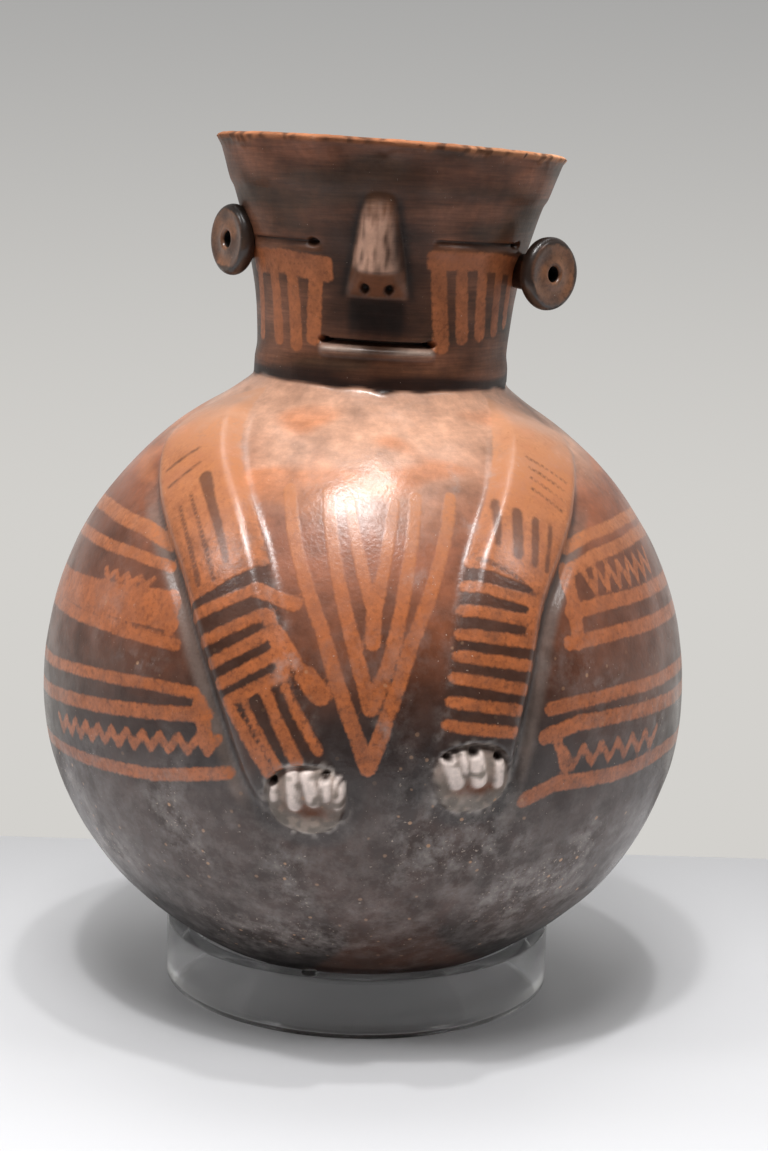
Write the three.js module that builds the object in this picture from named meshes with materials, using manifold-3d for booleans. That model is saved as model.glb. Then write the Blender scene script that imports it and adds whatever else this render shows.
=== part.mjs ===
// Effigy bottle on a clear ring stand: a round hollow belly with arms in low relief,
// a flared neck that carries a face and two ear discs, three small pads and the ring.
// Millimetres, +Z up, the face looks along -Y, the ring stands on z = 0.
import * as THREE from 'three';
import { mergeVertices } from 'three/addons/utils/BufferGeometryUtils.js';
import Module from 'manifold-3d';

// Ring stand: cut from acrylic tube, 5 in outside, 1/4 in wall, 3/4 in high.
const ringRadius = 63.5;
const ringWall = 6.35;
const ringHeight = 19.05;
const ringEdge = 0.4;

// Pads on the ring's top that the belly rests on.
const padRadius = 2.7;
const padHeight = 1.4;
const padSeat = 60.9;
const padAngles = [-13, 107, 227];

// Belly: two half ellipsoids that meet at the widest height.
const bellyRadius = 104;
const bellyHeight = 99;
const bellyDrop = 95;
const bellyRise = 105;
const bellyWall = 6;

// Neck: nearly upright at its foot, flaring to the lip.
const neckRadius = 39.8;
const neckFoot = 203;
const lipRadius = 55.3;
const lipHeight = 272.2;
const neckWall = 5;
const lipWall = 4;
const lipRound = 1.2;

// The bottle is built by hand: it leans to the right and its lip isn't level.
const lean = 1.4;
const lipFallRight = 1.1;
const lipFallBack = 1.6;

// The hands stand out at the front, so the ring sits this far behind the outline's middle.
const ringSetBack = 1.8;

// Arms: centre line as [azimuth, latitude] on the belly, half widths at shoulder and wrist.
const leftArm = [[-68, 60], [-51, 49], [-30.5, 33], [-19.5, 16], [-11, -3]];
const rightArm = [[64, 60], [46, 50], [27, 31], [21, 14], [18.3, 1]];
const armShoulder = 15.5;
const armWrist = 12;
const armRelief = 4.2;
const reliefRoot = 2.5;

// Hands: a low mound with fingers and a pit at each finger's tip.
const leftHand = { azimuth: -8, height: 87.5, turn: -8 };
const rightHand = { azimuth: 18, height: 95.5, turn: 4 };
const handHalfWidth = 13;
const handHalfHeight = 12;
const handRelief = 5.4;
const fingerCount = 4;
const fingerGroove = 1.5;
const pitRadius = 0.8;
const pitDepth = 2.2;

// Face.
const noseAzimuth = -3;
const noseTop = 257;
const noseTip = 236;
const noseBase = 226.5;
const noseTopHalfWidth = 3.8;
const noseBaseHalfWidth = 10.4;
const noseRelief = 10.5;
const nostrilRadius = 1.4;
const nostrilSpread = 4;
const slitDepth = 2.6;
const eyeHalfHeight = 1.2;
const mouthHalfHeight = 1.4;
const leftEye = { from: -66, to: -27, height: 241 };
const rightEye = { from: 19, to: 64, height: 243 };
const mouth = { from: -28, to: 23.5, height: 212.6 };

// Ear discs on short stems.
const earThickness = 5.4;
const earHole = 2.4;
const earHoleDepth = 6;
const earStem = 6.5;
const leftEar = { azimuth: -77, height: 239.9, reach: 51.8, radius: 10.8, facing: -55 };
const rightEar = { azimuth: 66, height: 235.9, reach: 57, radius: 11.4, facing: 43 };

// Faceting.
const roundSegments = 60;
const cavitySegments = 40;
const smallSegments = 20;
const bellyRows = 18;
const cavityRows = 12;
const neckRows = 7;

const wasm = await Module();
wasm.setup();

const radians = THREE.MathUtils.degToRad;
const lerp = THREE.MathUtils.lerp;
const smooth = THREE.MathUtils.smoothstep;

// Radius of the plain outer form at a height.
function outerRadius(z) {
  if (z >= neckFoot) {
    const t = (z - neckFoot) / (lipHeight - neckFoot);
    return neckRadius + (lipRadius - neckRadius) * t * t;
  }
  const half = z < bellyHeight ? bellyDrop : bellyRise;
  const t = (z - bellyHeight) / half;
  return bellyRadius * Math.sqrt(Math.max(0, 1 - t * t));
}

// Height on the belly at a latitude in degrees.
function bellyZ(latitude) {
  const half = latitude < 0 ? bellyDrop : bellyRise;
  return bellyHeight + half * Math.sin(radians(latitude));
}

// Point on the outer form, raised along the surface normal. Azimuth 0 is the front.
function formPoint(azimuth, z, lift) {
  const step = 0.05;
  const slope = (outerRadius(z + step) - outerRadius(z - step)) / (2 * step);
  const tilt = Math.atan(slope);
  const r = outerRadius(z) + lift * Math.cos(tilt);
  const a = radians(azimuth);
  return new THREE.Vector3(r * Math.sin(a), -r * Math.cos(a), z - lift * Math.sin(tilt));
}

// The lip's fall, growing from the neck's foot to the lip.
function settleLip(geometry) {
  const position = geometry.attributes.position;
  const p = new THREE.Vector3();
  for (let i = 0; i < position.count; i += 1) {
    p.fromBufferAttribute(position, i);
    const share = smooth(p.z, neckFoot, lipHeight);
    const fall = p.x * Math.tan(radians(lipFallRight)) + p.y * Math.tan(radians(lipFallBack));
    position.setZ(i, p.z - share * fall);
  }
  return geometry;
}

// One closed, outward-facing solid from a geometry.
function solid(geometry) {
  const bare = new THREE.BufferGeometry();
  bare.setAttribute('position', geometry.attributes.position.clone());
  if (geometry.index) {
    bare.setIndex(geometry.index.clone());
  }
  const merged = mergeVertices(bare, 1e-4);
  const index = merged.index.array;
  const position = merged.attributes.position;
  const corners = [0, 1, 2].map(() => new THREE.Vector3());
  const triangles = [];
  let volume = 0;
  for (let i = 0; i < index.length; i += 3) {
    const [a, b, c] = [index[i], index[i + 1], index[i + 2]];
    if (a !== b && b !== c && c !== a) {
      triangles.push([a, b, c]);
      corners.forEach((corner, k) => corner.fromBufferAttribute(position, index[i + k]));
      volume += corners[0].dot(corners[1].cross(corners[2]));
    }
  }
  const turned = volume < 0 ? triangles.map(([a, b, c]) => [a, c, b]) : triangles;
  return new wasm.Manifold(new wasm.Mesh({
    numProp: 3,
    vertProperties: new Float32Array(position.array),
    triVerts: new Uint32Array(turned.flat()),
  }));
}

function geometryOf(manifold) {
  const mesh = manifold.getMesh();
  const geometry = new THREE.BufferGeometry();
  geometry.setAttribute('position', new THREE.BufferAttribute(mesh.vertProperties, 3));
  geometry.setIndex(new THREE.BufferAttribute(mesh.triVerts, 1));
  geometry.computeVertexNormals();
  return geometry;
}

// Solid of revolution about +Z from [radius, height] pairs.
function turned(profile, segments) {
  const points = profile.map(([r, z]) => new THREE.Vector2(r, z));
  return new THREE.LatheGeometry(points, segments).rotateX(Math.PI / 2);
}

function outerForm() {
  const profile = [];
  for (let i = 0; i <= bellyRows; i += 1) {
    const latitude = lerp(-90, 65, i / bellyRows);
    const r = i === 0 ? 0 : bellyRadius * Math.cos(radians(latitude));
    profile.push([r, bellyZ(latitude)]);
  }
  profile.push([neckRadius + 1.2, neckFoot - 4.6]);
  for (let i = 0; i <= neckRows; i += 1) {
    const z = lerp(neckFoot - 2, lipHeight - lipRound, i / neckRows);
    profile.push([outerRadius(Math.max(z, neckFoot)), z]);
  }
  profile.push([lipRadius - 0.5 * lipRound, lipHeight]);
  profile.push([0, lipHeight]);
  return solid(settleLip(turned(profile, roundSegments)));
}

function cavity() {
  const profile = [];
  const inner = bellyRadius - bellyWall;
  for (let i = 0; i <= cavityRows; i += 1) {
    const latitude = lerp(-90, 67, i / cavityRows);
    const half = (latitude < 0 ? bellyDrop : bellyRise) - bellyWall;
    const r = i === 0 ? 0 : inner * Math.cos(radians(latitude));
    profile.push([r, bellyHeight + half * Math.sin(radians(latitude))]);
  }
  const above = lipHeight + 12;
  for (const z of [neckFoot, 226, 242, 256, lipHeight - 2, above]) {
    const t = Math.min(1, (z - neckFoot) / (lipHeight - neckFoot));
    profile.push([outerRadius(Math.min(z, lipHeight)) - lerp(neckWall, lipWall, t), z]);
  }
  profile.push([0, above]);
  return solid(settleLip(turned(profile, cavitySegments)));
}

// A block whose top follows a height over the form and whose root is sunk in the wall.
// place(u, v, lift) gives the point; rise(u, v) the height; u and v run from -1 to 1.
function relief(columns, rows, place, rise) {
  const block = new THREE.BoxGeometry(2, 2, 2, columns, rows, 1);
  const position = block.attributes.position;
  for (let i = 0; i < position.count; i += 1) {
    const u = position.getX(i);
    const v = position.getY(i);
    const lift = position.getZ(i) > 0 ? rise(u, v) : -reliefRoot;
    const p = place(u, v, lift);
    position.setXYZ(i, p.x, p.y, p.z);
  }
  return solid(block);
}

function arm(path) {
  const points = path.map(([azimuth, latitude]) => new THREE.Vector3(azimuth, latitude, 0));
  const curve = new THREE.CatmullRomCurve3(points);
  const place = (u, v, lift) => {
    const along = (1 - v) / 2;
    const centre = curve.getPoint(along);
    const ahead = curve.getTangent(along);
    const latitude = Math.cos(radians(centre.y));
    const length = Math.hypot(ahead.x * latitude, ahead.y);
    const across = (u * lerp(armShoulder, armWrist, along) * 180) / (Math.PI * bellyRadius);
    const azimuth = centre.x - (across * ahead.y) / length / latitude;
    const z = bellyZ(centre.y + (across * ahead.x * latitude) / length);
    return formPoint(azimuth, z, lift);
  };
  const rise = (u, v) => {
    const crown = Math.sqrt(Math.max(0, 1 - u ** 6));
    const ends = smooth(1 - v, 0, 0.22) * lerp(0.75, 1, smooth(1 + v, 0, 0.3));
    return (armRelief + 1) * crown * ends - 1;
  };
  return relief(7, 16, place, rise);
}

// Place on the form by millimetres across and up from a centre, turned in the surface.
function patch({ azimuth, height, turn = 0 }, halfWidth, halfHeight) {
  const r = outerRadius(height);
  const c = Math.cos(radians(turn));
  const s = Math.sin(radians(turn));
  return (u, v, lift) => {
    const across = u * halfWidth;
    const up = v * halfHeight;
    const turnedAcross = across * c - up * s;
    const turnedUp = across * s + up * c;
    return formPoint(azimuth + (turnedAcross / r) * 180 / Math.PI, height + turnedUp, lift);
  };
}

function hand(spot) {
  const place = patch(spot, handHalfWidth, handHalfHeight);
  const rise = (u, v) => {
    const dome = Math.sqrt(Math.max(0, 1 - Math.abs(u) ** 2.6 - Math.abs(v) ** 2.6));
    const betweenFingers = 0.5 + 0.5 * Math.cos(Math.PI * fingerCount * (u + 1));
    const groove = fingerGroove * betweenFingers ** 4 * smooth(v, -0.25, 0.1) * dome;
    return (handRelief + 1) * dome - 1 - groove;
  };
  let body = relief(4 * fingerCount, 9, place, rise);
  for (let i = 0; i < fingerCount; i += 1) {
    const u = (2 * i + 1) / fingerCount - 1;
    const v = 0.45;
    const floor = rise(u, v) - pitDepth;
    const [bottom, top] = [place(u, v, floor), place(u, v, handRelief + 2)];
    body = body.subtract(rod(bottom, top, pitRadius, 6));
  }
  return body;
}

// Round rod between two points.
function rod(from, to, radius, segments) {
  const axis = to.clone().sub(from);
  const turn = new THREE.Quaternion();
  turn.setFromUnitVectors(new THREE.Vector3(0, 1, 0), axis.clone().normalize());
  const shape = new THREE.CylinderGeometry(radius, radius, axis.length(), segments);
  const middle = from.clone().add(to).multiplyScalar(0.5);
  return solid(shape.applyQuaternion(turn).translate(middle.x, middle.y, middle.z));
}

function nose() {
  const middle = (noseTop + noseBase) / 2;
  const half = (noseTop - noseBase) / 2;
  const tipAt = (noseTip - middle) / half;
  const share = (v) => (1 - v) / 2;
  const halfWidth = (v) => lerp(noseTopHalfWidth, noseBaseHalfWidth, share(v));
  const spot = { azimuth: noseAzimuth, height: middle };
  const place = (u, v, lift) => patch(spot, halfWidth(v), half)(u, v, lift);
  const rise = (u, v) => {
    const ridge = v > tipAt ? (1 - v) / (1 - tipAt) : (v + 1) / (tipAt + 1);
    const crown = 1 - Math.abs(u) ** 1.6;
    return (noseRelief + 1) * ridge * crown - 1;
  };
  let body = relief(8, 11, place, rise);
  const under = (noseTip + noseBase) / 2;
  for (const side of [-1, 1]) {
    const azimuth = noseAzimuth + (side * nostrilSpread / outerRadius(under)) * 180 / Math.PI;
    const from = formPoint(azimuth, under + 3, noseRelief * 0.35);
    const to = formPoint(azimuth, under - 5, noseRelief * 0.75);
    body = body.subtract(rod(from, to, nostrilRadius, 10));
  }
  return body;
}

// Slit cut around the neck from one azimuth to another, pointed at its floor.
function slit({ from, to, height }, halfHeight) {
  const columns = 10;
  const block = new THREE.BoxGeometry(2, 2, 2, columns, 2, 1);
  const position = block.attributes.position;
  for (let i = 0; i < position.count; i += 1) {
    const u = position.getX(i);
    const v = position.getY(i);
    const out = position.getZ(i) > 0;
    const close = Math.sqrt(Math.max(0, 1 - 0.9 * u ** 4));
    const floor = -slitDepth * close * (1 - 0.6 * v * v);
    const azimuth = lerp(from, to, (u + 1) / 2);
    const z = height + v * halfHeight * close * (out ? 1.3 : 0.7);
    const p = formPoint(azimuth, z, out ? 3 : floor);
    position.setXYZ(i, p.x, p.y, p.z);
  }
  return solid(block);
}

function ear({ azimuth, height, reach, radius, facing }) {
  const edge = 1.4;
  const stemLength = reach - outerRadius(height) + 2;
  const profile = [
    [0, -stemLength - earThickness * 0.5],
    [earStem, -stemLength - earThickness * 0.5],
    [earStem, -earThickness],
    [radius - edge, -earThickness],
    [radius, -earThickness + edge],
    [radius, -edge],
    [radius - edge, 0],
    [earHole * 1.6, -0.8],
    [earHole, -1.6],
    [earHole, -earHoleDepth],
    [0, -earHoleDepth],
  ];
  const shape = turned(profile, smallSegments);
  shape.rotateX(Math.PI / 2).rotateZ(radians(facing));
  const a = radians(azimuth);
  return solid(shape.translate(reach * Math.sin(a), -reach * Math.cos(a), height));
}

function bottle() {
  let body = outerForm();
  for (const piece of [arm(leftArm), arm(rightArm), hand(leftHand), hand(rightHand), nose()]) {
    body = body.add(piece);
  }
  for (const eye of [leftEye, rightEye]) {
    body = body.subtract(slit(eye, eyeHalfHeight));
  }
  body = body.subtract(slit(mouth, mouthHalfHeight));
  body = body.add(ear(leftEar)).add(ear(rightEar)).subtract(cavity());
  return geometryOf(body).translate(0, 0, -bellyHeight);
}

function ring() {
  const inner = ringRadius - ringWall;
  const profile = [
    [inner + ringEdge, 0],
    [ringRadius - ringEdge, 0],
    [ringRadius, ringEdge],
    [ringRadius, ringHeight - ringEdge],
    [ringRadius - ringEdge, ringHeight],
    [inner + ringEdge, ringHeight],
    [inner, ringHeight - ringEdge],
    [inner, ringEdge],
    [inner + ringEdge, 0],
  ];
  return geometryOf(solid(turned(profile, roundSegments)));
}

function pad() {
  const profile = [[0, 0], [padRadius, 0]];
  const steps = 4;
  for (let i = 1; i < steps; i += 1) {
    const a = radians((90 * i) / steps);
    profile.push([padRadius * Math.cos(a), padHeight * Math.sin(a)]);
  }
  profile.push([0, padHeight]);
  return geometryOf(solid(turned(profile, 12)));
}

const clay = new THREE.MeshStandardMaterial({ color: 0x6b4433, roughness: 0.45 });
const acrylic = new THREE.MeshStandardMaterial({
  color: 0xe6ecef, roughness: 0.08, transparent: true, opacity: 0.3,
});
const silicone = new THREE.MeshStandardMaterial({
  color: 0xe8e8e4, roughness: 0.3, transparent: true, opacity: 0.5,
});

const group = new THREE.Group();
group.position.y = ringSetBack;

function addPiece(name, geometry, material) {
  const mesh = new THREE.Mesh(geometry, material);
  mesh.name = name;
  group.add(mesh);
  return mesh;
}

const bottleMesh = addPiece('bottle', bottle(), clay);
bottleMesh.position.set(0, 0, bellyHeight);
bottleMesh.rotation.y = radians(lean);

addPiece('ring_stand', ring(), acrylic);

padAngles.forEach((angle, i) => {
  const a = radians(angle);
  const mesh = addPiece(`pad_${i + 1}`, pad(), silicone);
  mesh.position.set(padSeat * Math.sin(a), -padSeat * Math.cos(a), ringHeight + 0.3);
});

export default group;
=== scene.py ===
"""Effigy bottle on a clear ring stand: a burnished, painted clay bottle with a face on its
neck, ear discs and arms in low relief, three clear pads and a short length of clear tube."""

import math
from collections import namedtuple

import bmesh
import bpy
import numpy as np
from mathutils import Matrix, Vector, noise


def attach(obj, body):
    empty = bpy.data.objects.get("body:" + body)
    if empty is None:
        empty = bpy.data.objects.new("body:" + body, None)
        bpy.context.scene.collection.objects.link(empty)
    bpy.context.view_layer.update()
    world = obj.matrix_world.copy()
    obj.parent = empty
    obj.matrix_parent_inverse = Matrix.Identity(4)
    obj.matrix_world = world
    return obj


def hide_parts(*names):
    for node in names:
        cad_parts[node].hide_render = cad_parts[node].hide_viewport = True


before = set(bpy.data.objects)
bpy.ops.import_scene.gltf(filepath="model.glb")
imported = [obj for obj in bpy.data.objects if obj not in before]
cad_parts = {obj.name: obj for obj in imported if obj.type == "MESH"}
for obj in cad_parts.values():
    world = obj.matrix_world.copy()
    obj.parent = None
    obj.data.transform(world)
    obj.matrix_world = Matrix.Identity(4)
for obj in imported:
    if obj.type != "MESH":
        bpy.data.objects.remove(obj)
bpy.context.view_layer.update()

MM = 0.001

# The ring's axis stands this far behind the origin, and the bottle leans about the belly's middle.
RING_SET_BACK = 1.8
LEAN = math.radians(1.4)

# Bottle, in millimetres.
BELLY_RADIUS = 104.0
BELLY_HEIGHT = 99.0
BELLY_DROP = 95.0
BELLY_RISE = 105.0
BELLY_WALL = 6.0
NECK_RADIUS = 39.8
NECK_SEAM = 199.4
NECK_FOOT = 203.0
LIP_RADIUS = 55.3
LIP_HEIGHT = 272.2
NECK_WALL = 5.0
LIP_WALL = 4.0
LIP_ROUND = 1.6
LIP_FALL_RIGHT = math.radians(1.1)
LIP_FALL_BACK = math.radians(1.6)
TURNS = 316

# Arms: centre line as (azimuth, latitude) in degrees.
LEFT_ARM = [(-68, 60), (-51, 49), (-30.5, 33), (-19.5, 16), (-11, -3)]
RIGHT_ARM = [(64, 60), (46, 50), (27, 31), (21, 14), (18.3, 1)]
ARM_SHOULDER = 15.5
ARM_WRIST = 12.0
ARM_RELIEF = 4.2

# Hands: azimuth, height and turn of the middle; half width and half height.
LEFT_HAND = (-8.0, 87.5, -8.0)
RIGHT_HAND = (18.0, 95.5, 4.0)
HAND_HALF = (12.5, 11.5)
HAND_RELIEF = 5.4

# Fingers as across and up of both ends and a width, and the pits at some fingers' ends.
LEFT_FINGERS = ((-5.2, 8.6, -2.6, -0.8, 3.2), (-0.8, 8.0, 2.4, 1.6, 3.4),
                (4.4, 7.0, 5.2, 3.6, 3.0), (8.2, 7.4, 9.4, 1.6, 2.6), (-9.8, 3.0, -8.8, -0.6, 2.2))
RIGHT_FINGERS = ((-7.4, 6.8, -5.4, 0.4, 3.8), (-3.6, 8.4, -3.0, 3.8, 2.0),
                 (0.3, 7.4, 1.0, 0.4, 4.0), (7.4, 5.0, 7.0, -1.0, 2.8))
LEFT_PITS = ((4.2, 8.6), (-10.0, 4.2))
RIGHT_PITS = ((-7.4, 7.2), (-0.2, 8.4), (7.2, 6.2))

# Rubbed pale patches on the belly: azimuth, height, half width and half height in millimetres.
RUBBED_PATCHES = ((8.5, 150, 10, 3.2), (-12.5, 124, 3.5, 7), (4.5, 108, 4, 6), (26, 104, 4, 7),
                  (-24, 152, 3, 8), (20, 172, 2.2, 12), (-40, 120, 9, 4), (44, 122, 9, 4), (62, 104, 10, 4))

# Face: a slit is its two ends' azimuths and its height.
NOSE_AZIMUTH = -3.0
NOSE_TOP = 257.0
NOSE_TIP = 236.0
NOSE_BASE = 226.5
NOSE_RELIEF = 10.5
NOSE_HALF = (3.8, 10.4)
LEFT_EYE = (-67.0, -26.0, 241.0)
RIGHT_EYE = (18.5, 65.0, 243.3)
MOUTH = (-28.5, 24.0, 212.6)

# Ear discs: azimuth, height, reach, radius, facing.
LEFT_EAR = (-77.0, 239.9, 51.8, 10.8, -55.0)
RIGHT_EAR = (66.0, 235.9, 57.0, 11.4, 43.0)
EAR_THICKNESS = 5.4
EAR_HOLE = 2.4
EAR_STEM = 6.5

# Ring and pads.
RING_RADIUS = 63.5
RING_WALL = 6.35
RING_HEIGHT = 19.05
PAD_RADIUS = 2.7
PAD_HEIGHT = 1.4
PAD_SEAT = 60.9
PAD_GAP = 0.3
PAD_ANGLES = (-13, 107, 227)

# What the relief of a piece gives: its lift in millimetres, then masks from 0 to 1 for its colours.
Hand = namedtuple("Hand", "lift dome finger hollow pit upper spread")
Nose = namedtuple("Nose", "lift bare under nostril below")
Slit = namedtuple("Slit", "lift cut lip")

# Shader nodes that are used often. A colour mix has its share and its two colours at sockets 0, 6 and 7
# and gives output 2.
ATTRIBUTE = "ShaderNodeAttribute"
NOISE = "ShaderNodeTexNoise"
RANGE = "ShaderNodeMapRange"
MATH = "ShaderNodeMath"
MIX = "ShaderNodeMix"


def linear(hex_colour):
    """sRGB hex to linear RGBA."""
    parts = [int(hex_colour[i:i + 2], 16) / 255 for i in (0, 2, 4)]
    return [p / 12.92 if p <= 0.04045 else ((p + 0.055) / 1.055) ** 2.4 for p in parts] + [1.0]


def add_node(tree, kind, output, inputs=None, **settings):
    """Adds a node with its settings and links, and gives one of its outputs."""
    made = tree.nodes.new(kind)
    for name, value in settings.items():
        setattr(made, name, value)
    for key, value in (inputs or {}).items():
        if isinstance(value, bpy.types.NodeSocket):
            tree.links.new(value, made.inputs[key])
        else:
            made.inputs[key].default_value = value
    return made.outputs[output] if made.outputs else made


def lay(base, *layers):
    """Lays colours over one colour or many points' colours in turn, each by a share for each point."""
    colours = np.asarray(base, float)[..., :3]
    for hex_colour, share in layers:
        over = np.array(linear(hex_colour)[:3])
        colours = colours + (over - colours) * np.asarray(share)[:, None]
    return colours


def smooth(value, low, high):
    """Soft step from 0 at low to 1 at high; low may be the larger one."""
    t = np.clip((value - low) / (high - low), 0.0, 1.0)
    return t * t * (3 - 2 * t)


# Form of the bottle.

def form_radius(z):
    """Radius of the plain outer form at a height."""
    z = np.asarray(z, float)
    half = np.where(z < BELLY_HEIGHT, BELLY_DROP, BELLY_RISE)
    belly = BELLY_RADIUS * np.sqrt(np.clip(1 - ((z - BELLY_HEIGHT) / half) ** 2, 0, 1))
    t = (z - NECK_FOOT) / (LIP_HEIGHT - NECK_FOOT)
    neck = NECK_RADIUS + (LIP_RADIUS - NECK_RADIUS) * np.clip(t, 0, 1.2) ** 2
    return np.where(z >= NECK_FOOT - 5, neck, np.maximum(belly, NECK_RADIUS * (z > BELLY_HEIGHT)))


def on_form(azimuth, z):
    """Points on the plain outer form."""
    a = np.radians(np.asarray(azimuth, float))
    r = form_radius(z)
    return np.stack([r * np.sin(a), -r * np.cos(a), np.asarray(z, float) + 0 * a], -1)


def belly_z(latitude):
    """Height of a latitude of the belly."""
    s = np.sin(np.radians(latitude))
    return BELLY_HEIGHT + np.where(s < 0, BELLY_DROP, BELLY_RISE) * s


def through(points, count):
    """Smooth curve through a few points."""
    p = np.array(points, float)
    p = np.vstack([2 * p[0] - p[1], p, 2 * p[-1] - p[-2]])
    curve = []
    for i in range(len(p) - 3):
        t = np.linspace(0, 1, count, endpoint=i == len(p) - 4)[:, None]
        a, b, c, d = p[i:i + 4]
        curve.append(0.5 * (2 * b + (c - a) * t + (2 * a - 5 * b + 4 * c - d) * t ** 2
                            + (3 * b - a - 3 * c + d) * t ** 3))
    return np.vstack(curve)


class Arm:
    """An arm's centre line on the form; positive across is to the left of the viewer."""

    def __init__(self, path):
        line = through(path, 60)
        self.centre = on_form(line[:, 0], belly_z(line[:, 1]))
        steps = np.linalg.norm(np.diff(self.centre, axis=0), axis=1)
        self.along = np.concatenate([[0], np.cumsum(steps)])
        self.length = self.along[-1]
        run = np.gradient(self.centre, axis=0)
        self.run = run / np.linalg.norm(run, axis=1)[:, None]
        out = self.centre - np.array([0, 0, BELLY_HEIGHT])
        out /= np.linalg.norm(out, axis=1)[:, None]
        self.side = np.cross(self.run, out)

    def measure(self, points):
        """Millimetres along and across the centre line for many points."""
        nearest = np.empty(len(points), int)
        for start in range(0, len(points), 20000):
            part = points[start:start + 20000]
            gap = ((part[:, None, :] - self.centre[None]) ** 2).sum(-1)
            nearest[start:start + 20000] = gap.argmin(1)
        offset = points - self.centre[nearest]
        along = self.along[nearest] + (offset * self.run[nearest]).sum(1)
        across = (offset * self.side[nearest]).sum(1)
        return along, across

    def half_width(self, along):
        """Half width, which narrows evenly to the wrist."""
        return ARM_SHOULDER + (ARM_WRIST - ARM_SHOULDER) * np.clip(along / self.length, 0, 1)

    def spot(self, along, across):
        """Azimuth and height of a place given along and across the arm."""
        along = np.asarray(along, float)
        i = np.clip(np.searchsorted(self.along, along), 0, len(self.along) - 1)
        p = self.centre[i] + self.side[i] * np.asarray(across, float)[..., None]
        p = p + self.run[i] * (along - self.along[i])[..., None]
        return np.degrees(np.arctan2(p[..., 0], -p[..., 1])), p[..., 2]


left_arm = Arm(LEFT_ARM)
right_arm = Arm(RIGHT_ARM)


def bottle_profile():
    """Outer wall from the underside to the lip, then the inner wall back down, as (r, z)."""
    rows = []
    coarse = np.linspace(-90, -17, 36, endpoint=False)
    for latitude in np.concatenate([coarse, np.linspace(-17, 60, 110)]):
        rows.append((BELLY_RADIUS * math.cos(math.radians(latitude)), float(belly_z(latitude))))
    shoulder_r, shoulder_z = rows[-1]
    for t in np.linspace(0, 1, 15)[1:]:
        r = NECK_RADIUS + (shoulder_r - NECK_RADIUS) * (1 - t) ** 1.25
        rows.append((r, shoulder_z + (NECK_SEAM - shoulder_z) * t))
    for z in np.linspace(NECK_SEAM, NECK_FOOT, 7)[1:-1]:
        rows.append((NECK_RADIUS, z))

    # Rows of the neck, as a height and the count up to the next: closer at the mouth and the eyes.
    stops = ((NECK_FOOT, 6), (208.5, 17), (216, 9), (225, 16), (237.5, 18), (246.5, 26),
             (LIP_HEIGHT - LIP_ROUND, 1))
    for (low, count), (high, _) in zip(stops, stops[1:]):
        for z in np.linspace(low, high, count, endpoint=False):
            rows.append((float(form_radius(z)), z))
    for turn in np.radians(np.linspace(20, 160, 7)):
        r = LIP_RADIUS - LIP_WALL / 2 + LIP_WALL / 2 * math.cos(turn)
        rows.append((r, LIP_HEIGHT - LIP_ROUND + LIP_ROUND * math.sin(turn)))

    under_lip = [LIP_HEIGHT - 2, LIP_HEIGHT - 3.2]
    for z in np.concatenate([under_lip, np.linspace(LIP_HEIGHT - 5, NECK_FOOT, 9)]):
        t = (z - NECK_FOOT) / (LIP_HEIGHT - NECK_FOOT)
        rows.append((float(form_radius(z)) - NECK_WALL - (LIP_WALL - NECK_WALL) * t, z))
    for latitude in np.radians(np.linspace(66, -90, 18)):
        half = (BELLY_DROP if latitude < 0 else BELLY_RISE) - BELLY_WALL
        r = (BELLY_RADIUS - BELLY_WALL) * math.cos(latitude)
        rows.append((r, BELLY_HEIGHT + half * math.sin(latitude)))
    return rows


def turned(profile, turns):
    """Full turn of an open profile about the upright axis."""
    bm = bmesh.new()
    verts = [bm.verts.new((max(r, 0.0), 0.0, z)) for r, z in profile]
    edges = [bm.edges.new(pair) for pair in zip(verts, verts[1:])]
    bmesh.ops.spin(bm, geom=verts + edges, cent=(0, 0, 0), axis=(0, 0, 1),
                   angle=2 * math.pi, steps=turns, use_merge=True)
    bmesh.ops.remove_doubles(bm, verts=bm.verts, dist=1e-4)
    bmesh.ops.recalc_face_normals(bm, faces=bm.faces)
    return bm


def patch_offsets(points, azimuth, height, turn=0.0):
    """Millimetres across and up from a place on the form, for many points."""
    r = float(form_radius(height))
    az = np.degrees(np.arctan2(points[:, 0], -points[:, 1])) - azimuth
    az = (az + 180) % 360 - 180
    across = np.radians(az) * r
    up = points[:, 2] - height
    c, s = math.cos(math.radians(turn)), math.sin(math.radians(turn))
    return across * c + up * s, up * c - across * s


def hand_lift(points, hand, fingers, pits):
    """Mound of a hand: ridges of the fingers on its upper half, pits at their ends, a smooth palm."""
    u, v = patch_offsets(points, *hand)
    spread = np.abs(u / HAND_HALF[0]) ** 2.3 + np.abs(v / HAND_HALF[1]) ** 2.3
    dome = np.sqrt(np.clip(1 - spread, 0, 1)) * smooth(1 - spread, 0.0, 0.5)
    finger = np.zeros(len(points))
    for u0, v0, u1, v1, width in fingers:
        leg = np.array([u1 - u0, v1 - v0])
        t = np.clip(((u - u0) * leg[0] + (v - v0) * leg[1]) / (leg @ leg), 0, 1)
        gap = np.hypot(u - u0 - t * leg[0], v - v0 - t * leg[1])
        finger = np.maximum(finger, smooth(gap, width / 2 + 0.9, width / 2 - 0.7))
    pit = np.zeros(len(points))
    for across, up in pits:
        pit = np.maximum(pit, smooth(np.hypot(u - across, (v - up) * 1.1), 1.9, 0.7))
    hollow = np.exp(-((v + 1.6) / 2.2) ** 2 - ((u - 1) / 6.5) ** 2) * (1 - finger)
    lift = (HAND_RELIEF - 1.0) * dome * (0.7 + 0.3 * smooth(v, -9, 1))
    lift += 0.9 * finger * smooth(dome, 0.0, 0.3) - 0.9 * hollow - 2.2 * pit
    upper = smooth(v, -1.0, 2.5) * smooth(dome, 0.05, 0.4)
    return Hand(lift, dome, finger, hollow, pit, upper, spread)


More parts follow.
